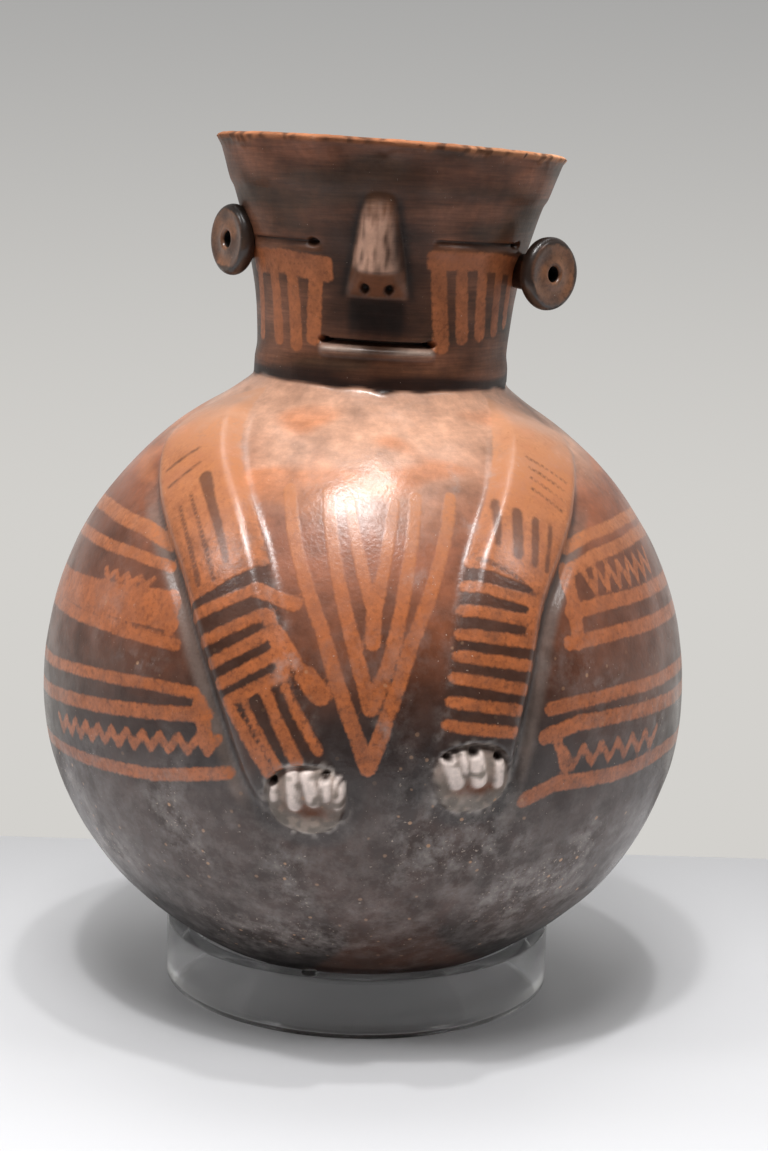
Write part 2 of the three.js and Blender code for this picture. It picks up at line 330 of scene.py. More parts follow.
def nose_lift(points):
    """Wedge nose: a round ridge that grows down to the tip and an under face with two nostrils."""
    u, v = patch_offsets(points, NOSE_AZIMUTH, NOSE_TIP)
    top, base = NOSE_TOP - NOSE_TIP, NOSE_TIP - NOSE_BASE
    share = np.clip((top - v) / (top + base), 0, 1)
    half = NOSE_HALF[0] + (NOSE_HALF[1] - NOSE_HALF[0]) * share
    ridge = 0.1 + 0.9 * np.clip((top - v) / top, 0, 1) ** 0.8
    rise = np.where(v > 0, ridge, np.clip((v + base) / base, 0, 1))
    ends = smooth(v, top + 2, top - 5) * smooth(v, -base - 0.5, -base + 1.5)
    q = np.abs(u) / half
    crown = np.clip(1 - q ** 2.2, 0, 1)
    nostril = smooth(np.hypot(np.abs(u) - 3.6, (v + 6.4) * 0.9), 1.9, 0.8)
    lift = NOSE_RELIEF * rise * crown * ends - 3.2 * nostril

    # The ridge is rubbed bare in upright scratches and is paler still with a painted highlight set towards
    # the lit left side. Below the nose is dark slip under the nose's painted shadow, and beside it painted
    # shade along the creases.
    bare = smooth(np.abs(u + 1.0) / half, 0.98, 0.5) * smooth(v, top - 1, top - 9) * smooth(v, -1.4, 0.6)
    scratch = unevenness(points * np.array([1, 1, 0.1]), 1.3, 8)
    bare *= np.clip(0.8 + 1.3 * scratch, 0, 1)
    under = smooth(q, 1.0, 0.8) * smooth(v, 0.6, -1.4) * smooth(v, -base - 1, -base)
    below = smooth(v, -base + 1, -base - 1) * smooth(v, -base - 13, -base - 9)
    below *= smooth(np.abs(u), 10.5, 7.5)
    beside = np.exp(-((np.abs(u) - half - 0.6) / 1.5) ** 2)
    beside *= smooth(v, top + 1, top - 4) * smooth(v, -base - 2, -base + 1)
    return Nose(lift, bare, under, nostril, np.maximum(below, beside))


def slit_lift(points, slit, depth, lip, pits):
    """Slit cut around the neck: a sharp upper edge, a floor that slopes out to a lower lip."""
    start, end, height = slit
    r = float(form_radius(height))
    az = np.degrees(np.arctan2(points[:, 0], -points[:, 1]))
    run = np.radians(az - start) * r
    length = math.radians(end - start) * r
    inside = smooth(run, -0.8, 2.4) * smooth(run, length + 0.8, length - 2.4)
    v = points[:, 2] - height
    floor = np.where(v > 0.5, smooth(v, 1.1, 0.7), smooth(v, -1.7, 0.5))
    pit = np.zeros(len(points))
    for place in pits:
        pit = np.maximum(pit, smooth(np.hypot((run - place * length) * 0.55, v - 0.5), 1.3, 0.6))
    ridge = np.exp(-((v + 2.3) / 1.4) ** 2) * inside
    # This mask carries painted shade into the slit's upper part and its pits.
    cut = np.maximum(smooth(v, -0.2, 0.4) * smooth(v, 1.1, 0.8) * inside, pit)
    return Slit(-depth * floor * inside - 1.8 * pit + lip * ridge, cut, ridge)


def arm_lift(points, arm, outer_sign):
    """Low relief of an arm, with a steep outer edge and a furrow outside it."""
    along, across = arm.measure(points)
    half = arm.half_width(along)
    out = across * outer_sign
    start = smooth(along, -6.0, 22.0)
    finish = smooth(along, arm.length + 9.0, arm.length - 2.0)
    outer = smooth(half - out, -1.2, 3.2)
    inner = smooth(half + out, -1.5, 6.0)
    crown = 0.82 + 0.18 * np.clip(1 - (across / half) ** 2, 0, 1)
    furrow = np.exp(-((out - half - 2.6) / 2.0) ** 2) * smooth(along, 12.0, 40.0) * finish
    lift = ARM_RELIEF * outer * inner * crown * start * finish - 0.9 * furrow
    near = (np.abs(across) < half + 12) & (along > -12) & (along < arm.length + 12)
    return np.where(near, lift, 0.0), along, across, half


def unevenness(points, size, seed):
    """Smooth hand-made waviness from -1 to 1, with hills of a size in millimetres."""
    shift = Vector((seed * 17.3, seed * 5.1, seed * 9.7))
    return np.array([noise.noise(Vector(p) / size + shift) for p in points])


# Painting: distances in millimetres to the edge of a stroke, negative inside.

class Strokes:
    """Strokes of one slip on the bottle, kept as the distance of each point to the nearest edge."""

    def __init__(self, points):
        self.points = points
        self.edge = np.full(len(points), 8.0)

    def brush(self, spots, width, end_width=None):
        """Round-ended stroke through (azimuth, height) spots."""
        end_width = width if end_width is None else end_width
        spots = np.array(spots, float)
        fine = [spots[0]]
        for a, b in zip(spots, spots[1:]):
            count = max(1, int(np.linalg.norm(on_form(*a) - on_form(*b)) / 6))
            fine += [a + (b - a) * (k + 1) / count for k in range(count)]
        fine = np.array(fine)
        line = on_form(fine[:, 0], fine[:, 1])
        widths = np.linspace(width, end_width, len(line))
        middle = line.mean(0)
        reach = np.linalg.norm(line - middle, axis=1).max() + max(width, end_width) + 9
        near = np.where(((self.points - middle) ** 2).sum(1) < reach ** 2)[0]
        p = self.points[near]
        best = self.edge[near]
        for a, b, wa, wb in zip(line, line[1:], widths, widths[1:]):
            leg = b - a
            t = np.clip(((p - a) @ leg) / (leg @ leg), 0, 1)
            gap = np.linalg.norm(p - a - t[:, None] * leg, axis=1)
            best = np.minimum(best, gap - (wa + (wb - wa) * t) / 2)
        self.edge[near] = best

    def on_arm(self, arm, spots, width, end_width=None):
        """Stroke given along and across an arm."""
        spots = np.array(spots, float)
        steps = np.linspace(0, len(spots) - 1, 4 * (len(spots) - 1) + 1)
        along = np.interp(steps, range(len(spots)), spots[:, 0])
        across = np.interp(steps, range(len(spots)), spots[:, 1])
        self.brush(np.stack(arm.spot(along, across), -1), width, end_width)

    def area(self, edge):
        """Whole area painted at once, given its edge distance."""
        self.edge = np.minimum(self.edge, edge)

    def zigzag(self, start, end, teeth, depth, width):
        """Zigzag between two spots."""
        share = np.linspace(0, 1, 2 * teeth + 1)
        spots = np.array(start) + (np.array(end) - np.array(start)) * share[:, None]
        spots[::2, 1] += depth / 2
        spots[1::2, 1] -= depth / 2
        for a, b in zip(spots, spots[1:]):
            self.brush([a, b], width)


def paint_side_bands(orange):
    """Two groups of stripes with a zigzag on each side of the belly."""
    for near, far, width in ((153, 157, 4.8), (147, 148, 3.6), (138.5, 134, 5.2), (132, 130, 4.6),
                             (126.5, 126, 3.8)):
        start = -33 - (near - 126) * 0.28
        middle = (near + far) / 2 + 0.6
        orange.brush([(start, near), (-50, middle), (-72, far), (-100, far - 3), (-150, far - 5)], width)
    orange.zigzag((-42, 141.4), (-57, 140.4), 4, 2.6, 2.0)
    orange.brush([(-36, 137), (-60, 131)], 6.4)
    orange.brush([(-36.5, 139), (-35, 131)], 5.0)
    orange.brush([(-28, 114), (-37, 114), (-51, 112), (-68, 109), (-105, 106), (-150, 105)], 3.5)
    orange.brush([(-25.5, 108.5), (-36, 106), (-50, 103), (-68, 99.5), (-105, 96), (-150, 95)], 4.3)
    orange.brush([(-27, 112), (-25, 101)], 4.6)
    orange.zigzag((-23, 100), (-64, 91.5), 11, 4.6, 2.4)
    orange.brush([(-21, 92.5), (-36, 87), (-50, 85), (-66, 83), (-105, 80), (-150, 80)], 3.9)
    for near, far, width in ((157.5, 162, 3.8), (151.5, 157, 4.0), (140.5, 142, 4.4), (132, 133, 4.4)):
        start = 37 + (near - 132) * 0.17
        middle = (near + far) / 2 + 0.5
        orange.brush([(start, near), (50, middle), (70, far), (102, far - 2), (150, far - 4)], width)
    orange.brush([(40, 152), (39, 132)], 5.0)
    orange.zigzag((44, 148), (72, 149.5), 7, 6.4, 2.0)
    orange.brush([(32, 114), (37, 115), (49, 116), (72, 116), (105, 113), (150, 111)], 4.0)
    orange.brush([(31, 106), (38, 109), (50, 109), (72, 108), (105, 105), (150, 103)], 4.6)
    orange.brush([(33, 107), (35.5, 95)], 3.0)
    orange.zigzag((35, 99), (60, 99), 6, 5.6, 2.0)
    orange.brush([(28, 87.5), (34, 91.5), (48, 91), (66, 93), (105, 91), (150, 90)], 4.8)


def paint_chest(orange):
    """Three nested Vs that fade into the wash of the shoulders."""
    orange.brush([(-19, 172), (-7.4, 136), (1.4, 98)], 3.6, 4.6)
    orange.brush([(17.5, 172), (7.6, 133), (1.6, 98)], 3.6, 4.6)
    orange.brush([(-10, 172), (-2.6, 136), (1.4, 115)], 3.4, 4.4)
    orange.brush([(9.5, 172), (4.4, 130), (1.6, 115)], 3.4, 4.4)
    orange.brush([(-5, 170), (1.2, 141)], 3.2, 3.8)
    orange.brush([(4.6, 170), (1.4, 141)], 3.2, 3.8)
    orange.brush([(1.3, 141), (1.3, 133)], 4.4)


def paint_arms(orange, dark, left, right):
    """Lengthwise strokes and cross bars on the arms; left and right are (along, across, half)."""
    along, across, half = left
    ends = np.maximum(-along - 4, along - 83 - across * 0.15)
    orange.area(np.maximum(np.abs(across) - half + 0.6, ends))
    for k, (start, end) in enumerate(((89, 88), (97, 95.5), (103.5, 101.5), (110, 107.5), (115.5, 113))):
        orange.on_arm(left_arm, [(start, 12.6 - k * 0.9), (end, -9.0)], 3.3)
    orange.on_arm(left_arm, [(88, -8), (95, -17)], 4.2)
    orange.on_arm(left_arm, [(96, -9.5), (112, -9.5)], 3.4)
    for start, end, width in ((8.8, 3.6, 3.0), (4.0, 0.4, 1.8), (-2.9, -5.0, 3.2), (-8.2, -11.2, 2.2)):
        orange.on_arm(left_arm, [(116, start), (137, end)], width, width + 0.6)
    orange.on_arm(left_arm, [(101, -11), (114, -13.8)], 2.8)
    orange.on_arm(left_arm, [(115.5, -14.2), (121.5, -16.6)], 6.2)
    dark.on_arm(left_arm, [(46, -3), (60, -2.6), (77, -1.9)], 4.0, 1.8)
    dark.on_arm(left_arm, [(52, 7), (81, 7.8)], 1.2, 1.6)
    dark.on_arm(left_arm, [(49, 2.6), (81, 3.0)], 0.9, 1.6)
    dark.on_arm(left_arm, [(86, 8), (84, -4)], 1.7)
    for shift in (0, 7):
        dark.on_arm(left_arm, [(42 - shift, 9.7), (39 - shift, -2.1)], 1.1)
    along, across, half = right
    orange.area(np.maximum(np.abs(across) - half + 0.4, np.maximum(-along - 4, along - 74)))
    outer_strip = np.maximum(-across - half + 0.6, across + 7)
    orange.area(np.maximum(outer_strip, np.maximum(60 - along, along - 91)))
    for k in range(8):
        inner_end = (73.2 + 6.35 * k, 12 - 0.25 * k)
        outer_end = (71.8 + 6.4 * k, -12.4 + 0.45 * k)
        orange.on_arm(right_arm, [inner_end, outer_end], 3.3)
    for start, end, width in ((11.2, 6.7, 2.2), (4.4, 0.3, 3.4), (-1.3, -5.4, 2.4), (-6.4, -9.8, 1.5)):
        dark.on_arm(right_arm, [(50 + width, start), (66, end)], width)
    dark.on_arm(right_arm, [(72, 10), (72.5, 0), (76, -8)], 1.6)
    for shift in range(4):
        dark.on_arm(right_arm, [(30 + 4 * shift, 5 - shift), (32 + 4 * shift, -9)], 0.9)


def paint_cheeks(orange):
    """Panels under the eyes with strokes that hang down."""
    for start, end, top, low in ((-70, -24, 238.4, 232.5), (18.5, 66, 241.2, 237.0)):
        for height in np.linspace(top - 1.8, low, 4):
            orange.brush([(start, height), ((start + end) / 2, height + 0.6), (end, height - 0.8)], 3.4)
    for top, foot, low, width in ((-67, -69, 211, 4.2), (-53.5, -53, 210.5, 4.4), (-42, -41, 209.5, 4.6),
                                  (-29.5, -31.5, 212, 4.8)):
        orange.brush([(top, 233), (foot, low + 1.5)], width, width + 0.5)
    for top, foot, low, width in ((21.5, 26.5, 211.5, 4.8), (32, 37, 214, 4.2), (43, 47.5, 215, 4.0),
                                  (54, 58.5, 216, 3.8), (64.5, 69, 218, 3.4)):
        orange.brush([(top, 237), (foot, low + 1.5)], width, width + 0.6)


def settle(points):
    """The lip's fall, the lean and the place on the ring, in metres."""
    p = points.copy()
    share = smooth(p[:, 2], NECK_FOOT, LIP_HEIGHT)
    p[:, 2] -= share * (p[:, 0] * math.tan(LIP_FALL_RIGHT) + p[:, 1] * math.tan(LIP_FALL_BACK))
    x, z = p[:, 0].copy(), p[:, 2] - BELLY_HEIGHT
    p[:, 0] = x * math.cos(LEAN) + z * math.sin(LEAN)
    p[:, 2] = z * math.cos(LEAN) - x * math.sin(LEAN) + BELLY_HEIGHT
    p[:, 1] += RING_SET_BACK
    return p * MM


def finished(name, bm, material, fields=None):
    """Object from a bmesh in metres, with its fields for the paint."""
    mesh = bpy.data.meshes.new(name)
    bm.to_mesh(mesh)
    bm.free()
    for key, values in (fields or {}).items():
        values = np.asarray(values, np.float32)
        if values.ndim == 2:
            values = np.column_stack([values, np.ones(len(values), np.float32)])
            mesh.attributes.new(key, "FLOAT_COLOR", "POINT").data.foreach_set("color", values.ravel())
        else:
            mesh.attributes.new(key, "FLOAT", "POINT").data.foreach_set("value", values)
    mesh.materials.append(material)
    mesh.shade_smooth()
    made = bpy.data.objects.new(name, mesh)
    bpy.context.scene.collection.objects.link(made)
    return made


def bottle_mesh():
    """Turned wall with its columns drawn together at the front and finer faces at the hands."""
    bm = turned(bottle_profile(), TURNS)
    even = (-180, -154, -74, 74, 154, 180)
    drawn = (-180, -102, -42, 42, 102, 180)
    for vert in bm.verts:
        r = math.hypot(vert.co.x, vert.co.y)
        azimuth = math.degrees(math.atan2(vert.co.x, -vert.co.y))
        azimuth = math.radians(np.interp(azimuth, even, drawn))
        vert.co.x, vert.co.y = r * math.sin(azimuth), -r * math.cos(azimuth)
    for azimuth, height, _ in (LEFT_HAND, RIGHT_HAND):
        spot = Vector(on_form(azimuth, height))
        near = {e for v in bm.verts if (v.co - spot).length < 16 for e in v.link_edges}
        bmesh.ops.subdivide_edges(bm, edges=list(near), cuts=1, use_grid_fill=True)
    bm.verts.index_update()
    return bm


class Wall:
    """Points of the bottle's wall: where they are, which way is out, and the waviness at each."""

    def __init__(self, points):
        self.points = points
        self.z = z = points[:, 2]
        self.r = np.hypot(points[:, 0], points[:, 1])
        self.azimuth = np.degrees(np.arctan2(points[:, 0], -points[:, 1]))
        turn = np.radians(self.azimuth)
        slope = np.arctan((form_radius(z + 0.2) - form_radius(z - 0.2)) / 0.4)
        out = (np.sin(turn) * np.cos(slope), -np.cos(turn) * np.cos(slope), -np.sin(slope))
        self.out = np.stack(out, -1)
        self.outer = (self.r > form_radius(z) - 2.0) & (z < LIP_HEIGHT - 1.5)
        front = self.outer & (points[:, 1] < 20)
        self.belly = np.where(front & (z < NECK_FOOT - 4))[0]
        self.face = np.where(front & (z > NECK_FOOT))[0]
        self.hills = unevenness(points, 38.0, 1)
        self.cloud = unevenness(points, 24.0, 6)
        self.small = unevenness(points, 7.0, 7)
        self.chips = unevenness(points, 2.6, 9)
        self.drift = unevenness(points * np.array([0.3, 0.3, 1.0]), 7.0, 6)
        drip = 1.6 * np.exp(-((self.azimuth - 2) / 5.0) ** 2)
        self.neck = smooth(z + 1.4 * unevenness(points, 9.0, 4) + drip, 198.4, 199.6) * self.outer
        ragged = z + 1.0 * self.chips + 1.2 * self.small
        self.worn = smooth(ragged, LIP_HEIGHT - 2.5, LIP_HEIGHT - 1.6) * (self.r > form_radius(z) - 6.5)
        self.inside = (~self.outer) & (self.worn < 0.5)

    def spread(self, values):
        """An arm's measures for the whole wall, far off where the arm can't be."""
        whole = np.full((len(values), len(self.z)), -99.0)
        whole[:, self.belly] = values
        return whole


def bottle_relief(wall):
    """Lift of every point, with the arms' measures, the hands, the nose and the slits for the paint."""
    belly, face, z = wall.belly, wall.face, wall.z
    left = arm_lift(wall.points[belly], left_arm, 1)
    right = arm_lift(wall.points[belly], right_arm, -1)
    relief = np.where(np.abs(left[0]) > np.abs(right[0]), left[0], right[0])
    hands = [hand_lift(wall.points[belly], LEFT_HAND, LEFT_FINGERS, LEFT_PITS),
             hand_lift(wall.points[belly], RIGHT_HAND, RIGHT_FINGERS, RIGHT_PITS)]
    for hand in hands:
        share = smooth(hand.dome, 0.0, 0.3)
        relief = relief * (1 - share) + hand.lift * share
    nose = nose_lift(wall.points[face])
    slits = [slit_lift(wall.points[face], LEFT_EYE, 1.1, 0.4, (0.9,)),
             slit_lift(wall.points[face], RIGHT_EYE, 1.1, 0.4, (0.95,)),
             slit_lift(wall.points[face], MOUTH, 2.6, 1.3, (0.05, 0.95))]
    lift = np.zeros(len(z))
    lift[belly] = relief
    lift[face] = nose.lift + sum(slit.lift for slit in slits)

    # Waviness, a step below the lip, a thicker foot of the neck and the chipped lip.
    lift += (0.5 * wall.hills + 0.16 * unevenness(wall.points, 11.0, 2)) * wall.outer
    lift += 0.5 * smooth(z, 256.0, 258.5) * smooth(z, 268, 259) * wall.outer
    lift += 0.6 * smooth(z, 209.0, 203.5) * wall.neck
    chipped = 0.4 * wall.small - 0.6 * np.clip(wall.cloud - 0.2, 0, 1) + 0.3 * wall.chips
    lift += chipped * (z > LIP_HEIGHT - 4.5)
    return lift, (wall.spread(left[1:]), wall.spread(right[1:])), hands, nose, slits


def bottle_strokes(wall, arms, hands):
    """Edge distances of the orange strokes and of the dark ones on them; the hands stay bare."""
    orange, dark = Strokes(wall.points), Strokes(wall.points)
    paint_side_bands(orange)
    paint_chest(orange)
    paint_cheeks(orange)
    paint_arms(orange, dark, *arms)
    orange.edge[~wall.outer] = 8.0
    dark.edge[~wall.outer] = 8.0
    for hand in hands:
        bare = 6 * smooth(hand.dome, 0.1, 0.4) - 3
        orange.edge[wall.belly] = np.maximum(orange.edge[wall.belly], bare)
    return orange.edge, dark.edge


def bottle_ground(wall, arms, hands, nose, slits):
    """Colour under the strokes: belly, hands, neck, face with painted shade round the nose, worn lip with a
    painted highlight on its right side, and the dark inside.
    """
    belly, face, z = wall.belly, wall.face, wall.z
    wash = smooth(wall.drift, 0.0, 0.35) * smooth(z, 158, 172) * smooth(z, 198, 188)
    ground = belly_ground(z, wall.azimuth, wall.cloud, wall.hills, arms)
    ground = lay(ground, ("c0764a", wash * 0.7))
    rubbed = unevenness(wall.points[belly], 2.0, 8)
    for hand in hands:
        ground[belly] = hand_ground(ground[belly], hand, wall.small[belly], rubbed)
    # Painted shade: a dark zone on the neck round the nose, from the brows down to the mouth.
    painted_shade_round_nose = smooth(np.abs(wall.azimuth + 3), 30, 16) * smooth(z, 211, 218) * smooth(z, 256, 244)
    brown = lay(neck_ground(z, wall.drift), ("2a1b14", painted_shade_round_nose * 0.75))
    brown[face] = face_ground(brown[face], nose, slits, wall.azimuth[face])
    ground += (brown - ground) * wall.neck[:, None]
    chipped = smooth(wall.chips + 0.5 * wall.small, 0.0, 0.4)
    return lay(ground,
               ("a86d4b", wall.worn),
               # Painted highlight: the worn lip is paler on its right side, where the light falls.
               ("dc9d74", wall.worn * smooth(wall.azimuth + 40 * wall.cloud, 15, 45)),
               ("4f3427", wall.worn * chipped * 0.8),
               ("2c1d18", wall.inside))


def bottle_slip(wall):
    """Colour of the orange strokes: paler towards the shoulders, browner on the neck."""
    off_neck = 1 - wall.neck
    return lay(linear("b8683a"),
               ("c27d50", smooth(wall.z, 135, 178) * off_neck),
               ("d09a78", smooth(wall.z, 172, 194) * off_neck * 0.8),
               ("b66d42", wall.neck))


def bottle_dust_and_sheen(wall, arms, hands):
    """Share of pale dust and painted sheen: low on the belly a clouded band that is a painted reflection of
    the bright surroundings, and dust in rubbed patches, on the arms' inner edges and on the hands.
    """
    z = wall.z
    speckled = smooth(wall.chips + wall.small, -0.3, 0.4)
    clouded = 0.4 + 0.6 * smooth(wall.cloud + 0.5 * wall.small, -0.1, 0.5)
    # The clouded band from about 48 to 98 mm high is painted sheen, a pale reflection; the base and the
    # loose clouds are dust.
    dust_and_sheen = 0.07 + clouded * smooth(z, 98, 70) * smooth(z, 22, 48) + 0.25 * smooth(wall.cloud, 0.15, 0.5)
    for azimuth, height, wide, high in RUBBED_PATCHES:
        u, v = patch_offsets(wall.points, azimuth, height)
        dust_and_sheen += 0.9 * np.exp(-(u / wide) ** 2 - (v / high) ** 2) * speckled
    for (along, across, half), sign in zip(arms, (1, -1)):
        inner_edge = np.exp(-((across * sign + half - 0.5) / 1.8) ** 2)
        dust_and_sheen += 0.7 * inner_edge * speckled * smooth(along, 15, 40) * smooth(along, 140, 120)
    for hand in hands:
        dust_and_sheen[wall.belly] += 0.2 * smooth(hand.dome, 0.0, 0.3)
    return dust_and_sheen * wall.outer * (1 - wall.neck)


def bottle_dull(wall, hands, mouth):
    """Where the burnish is lost: lip, inside, neck, hands and underside. The mouth's lip keeps it."""
    dull = np.maximum(np.maximum(wall.worn, wall.inside * 0.8), 0.5 * wall.neck)
    dull[wall.face] *= 1 - np.clip(mouth.lip * 1.2, 0, 1)
    on_hand = smooth(hands[0].dome + hands[1].dome, 0.0, 0.3)
    dull[wall.belly] = np.maximum(dull[wall.belly], 0.75 * on_hand)
    return np.maximum(dull, 0.7 * smooth(wall.z, 48, 22) * wall.outer)


def make_bottle(material):
    """Clay bottle: the turned wall with its relief moved out, and its paint as fields of the mesh."""
    bm = bottle_mesh()
    wall = Wall(np.array([v.co for v in bm.verts]))
    lift, arms, hands, nose, slits = bottle_relief(wall)
    orange, dark = bottle_strokes(wall, arms, hands)
    streak = 0.12 * smooth(wall.z, 150, 185) * (1 - wall.neck) + 0.6 * wall.neck
    streak[wall.face] *= 1 - np.maximum(nose.bare, nose.under)
    fields = {"ground": bottle_ground(wall, arms, hands, nose, slits), "slip": bottle_slip(wall),
              "orange": orange, "dark": dark, "streak": streak,
              "dust_and_sheen": bottle_dust_and_sheen(wall, arms, hands), "dull": bottle_dull(wall, hands, slits[2])}
    for vert, place in zip(bm.verts, settle(wall.points + wall.out * lift[:, None])):
        vert.co = place
    return finished("bottle_clay", bm, material, fields)


def belly_ground(z, azimuth, cloud, hills, arms):
    """Slip under the strokes: black below and around the hands, red-brown between the Vs, orange on
    the shoulders, and a rubbed grey-brown furrow along the outer edge of each arm."""
    side = smooth(np.abs(azimuth - 1), 22, 44)
    level = z + 6 * cloud + 4 * hills
    layers = [("1e1715", smooth(level, 52, 26)),
              ("693b25", smooth(level, 104 - 14 * side, 136 + 2 * side)),
              ("94573a", smooth(level, 130 + 18 * side, 160 + 10 * side)),
              ("c7977c", smooth(level, 158 + 12 * side, 186)),
              ("1d1311", np.exp(-((level - 99) / 15) ** 2) * (1 - 0.6 * side) * 0.8)]
    for (along, across, half), sign in zip(arms, (1, -1)):
        forearm = smooth(np.abs(across) - half, 1.0, -1.5) * smooth(along, 55, 80)
        beside = across * sign - half
        run = smooth(along, 20, 48) * smooth(along, 148, 138)
        layers += [("40261a", forearm * 0.85),
                   ("71625a", smooth(beside, 0.5, 2.2) * smooth(beside, 7.5, 4.5) * run * 0.75),
                   ("2a1e1a", np.exp(-((beside - 0.8) / 1.0) ** 2) * run * 0.85)]
    return lay(linear("3e2a22"), *layers)


def hand_ground(ground, hand, small, rubbed):
    """Rubbed hand in a dark furrow: pale fingers, a brown hollow below them, a grey palm with a pale rim,
    and pits darkened with painted shade."""
    rim = np.exp(-((hand.spread - 0.85) / 0.25) ** 2) * smooth(rubbed + small, -0.2, 0.4)
    palm = smooth(hand.dome + 0.4 * rubbed, 0.0, 0.6) * smooth(hand.dome, 0.0, 0.15)
    return lay(ground,
               ("251c1a", smooth(hand.spread, 2.4, 1.3) * 0.7),
               ("716860", palm),
               ("9a8a7e", smooth(rubbed + small, 0.0, 0.5) * smooth(hand.dome, 0.1, 0.5) * 0.7),
               ("b3a9a1", rim * 0.5),
               ("86756b", hand.upper * np.clip(0.8 + rubbed, 0, 1)),
               ("6a4330", np.clip(hand.hollow * (1.3 + rubbed), 0, 1)),
               ("d3c3bb", hand.finger * smooth(rubbed + 0.5 * small, -0.6, 0.1)),
               # Painted shade in the pits at the fingers' ends.
               ("2a1b12", hand.pit))


def neck_ground(z, drift):
    """Brown slip of the neck in level drifts, redder under the lip, darker at the foot with dark slip and a
    painted shadow of the lip.
    """
    return lay(linear("5f3b27"),
               ("7a4f39", smooth(drift, 0.0, 0.45)),
               ("49301f", smooth(drift, -0.05, -0.45)),
               ("7d4a31", smooth(z, 254, 266) * smooth(drift, -0.2, 0.4) * 0.6),
               # Painted shadow, in part: the foot darkens where the lip's shadow falls; the rest is dark
               # slip.
               ("2a160d", smooth(z + 2.5 * drift, 204.5, 201.5)))


def face_ground(brown, nose, slits, azimuth):
    """Nose rubbed bare with a painted highlight on a brown under face, painted shade beside it and the
    nose's painted shadow over dark slip below it, painted shade in the nostrils and slits, and a painted
    highlight on the lower lip that is pale towards its ends."""
    # Painted highlight on the mouth's lower lip, weaker in the middle where the nose's painted shadow falls
    # on it.
    lip = slits[2].lip * (0.65 - 0.5 * np.exp(-((azimuth + 1) / 7) ** 2))
    return lay(brown,
               # Painted shade beside the nose, and below it the nose's painted shadow over dark slip.
               ("1a110d", nose.below * 0.8),
               ("68442f", nose.under),
               ("a9836f", nose.bare),
               # Painted shade in the nostrils.
               ("0f0906", nose.nostril),
               # Painted highlight on the lower lip.
               ("b5a294", lip),
               # Painted shade in the slits and their pits, with some dark slip.
               *(("150d09", slit.cut * 0.85) for slit in slits))


def make_ear(name, ear, material):
    """Ear disc on a stem: rounded dark rim, a dished brown face and a deep hole."""
    azimuth, height, reach, radius, facing = ear
    half = EAR_THICKNESS / 2
    stem = reach - float(form_radius(height)) + 1 + half
    profile = [(0.0, -stem), (EAR_STEM * 0.8, -stem), (EAR_STEM, -EAR_THICKNESS + 0.4)]
    for turn in np.radians(np.linspace(-85, 80, 15)):
        profile.append((radius - 2.2 + 2.2 * math.cos(turn), -half + half * math.sin(turn)))
    for share in np.linspace(0.12, 1, 9):
        dish = -0.6 * math.sin(share * math.pi)
        profile.append((radius - 2.0 + (EAR_HOLE + 0.7 - radius + 2.0) * share, dish))
    profile += [(EAR_HOLE + 0.2, -0.5), (EAR_HOLE, -1.4), (EAR_HOLE * 0.92, -4), (EAR_HOLE * 0.7, -6)]
    profile.append((0.0, -6.4))
    bm = turned(profile, 72)
    flat = np.array([v.co for v in bm.verts])

    # Paint: a brown face with a wandering edge, dark blotches on the rim, and a hole made black with
    # painted shade.
    from_middle = np.hypot(flat[:, 0], flat[:, 1])
    blotch = unevenness(flat + 31 * np.sign(azimuth), 6.0, 5)
    on_face = (flat[:, 2] > -1.6) & (from_middle > EAR_HOLE + 0.1)
    edge = np.where(on_face, from_middle - radius + 2.0 + 1.6 * blotch, 6.0)
    hole = (from_middle < EAR_HOLE + 0.05) & (flat[:, 2] > -7)
    ground = lay(linear("2c1f18"), ("4a3629", smooth(blotch, 0.0, 0.5)), ("0e0907", hole))
    slip = lay(linear("946548"), ("6b4a38", smooth(blotch, 0.1, -0.4)))
    fields = {"ground": ground, "slip": slip, "orange": edge, "dark": np.full(len(flat), 8.0),
              "dull": hole * 0.8}

    # Place on the neck; the stem ends inside the wall.
    flat *= (1 + 0.02 * blotch)[:, None]
    turn = Matrix.Rotation(math.radians(facing), 3, "Z") @ Matrix.Rotation(math.radians(90), 3, "X")
    placed = flat @ np.array(turn).T
    a = math.radians(azimuth)
    placed += np.array([reach * math.sin(a), -reach * math.cos(a), height])
    from_axis = np.hypot(placed[:, 0], placed[:, 1])
    held = np.maximum(from_axis, form_radius(placed[:, 2]) - NECK_WALL / 2)
    placed[:, :2] *= (held / from_axis)[:, None]
    for vert, place in zip(bm.verts, settle(placed)):
        vert.co = place
    return finished(name, bm, material, fields)


def make_ring(material):
    """Clear tube stand with eased edges."""
    inner = RING_RADIUS - RING_WALL
    corners = [(inner, 0), (RING_RADIUS, 0), (RING_RADIUS, RING_HEIGHT), (inner, RING_HEIGHT)]
    bm = bmesh.new()
    verts = [bm.verts.new((r * MM, 0, z * MM)) for r, z in corners]
    edges = [bm.edges.new((verts[i], verts[i - 1])) for i in range(4)]
    bmesh.ops.spin(bm, geom=verts + edges, cent=(0, 0, 0), axis=(0, 0, 1),
                   angle=2 * math.pi, steps=180, use_merge=True)
    bmesh.ops.remove_doubles(bm, verts=bm.verts, dist=1e-6)
    bmesh.ops.recalc_face_normals(bm, faces=bm.faces)
    sharp = [e for e in bm.edges if len(e.link_faces) == 2 and e.calc_face_angle() > 1.0]
    bmesh.ops.bevel(bm, geom=sharp, offset=0.45 * MM, affect="EDGES",
                    segments=3, profile=0.5, material=-1)
    bmesh.ops.translate(bm, verts=bm.verts, vec=(0, RING_SET_BACK * MM, 0))
    return finished("clear_ring", bm, material)


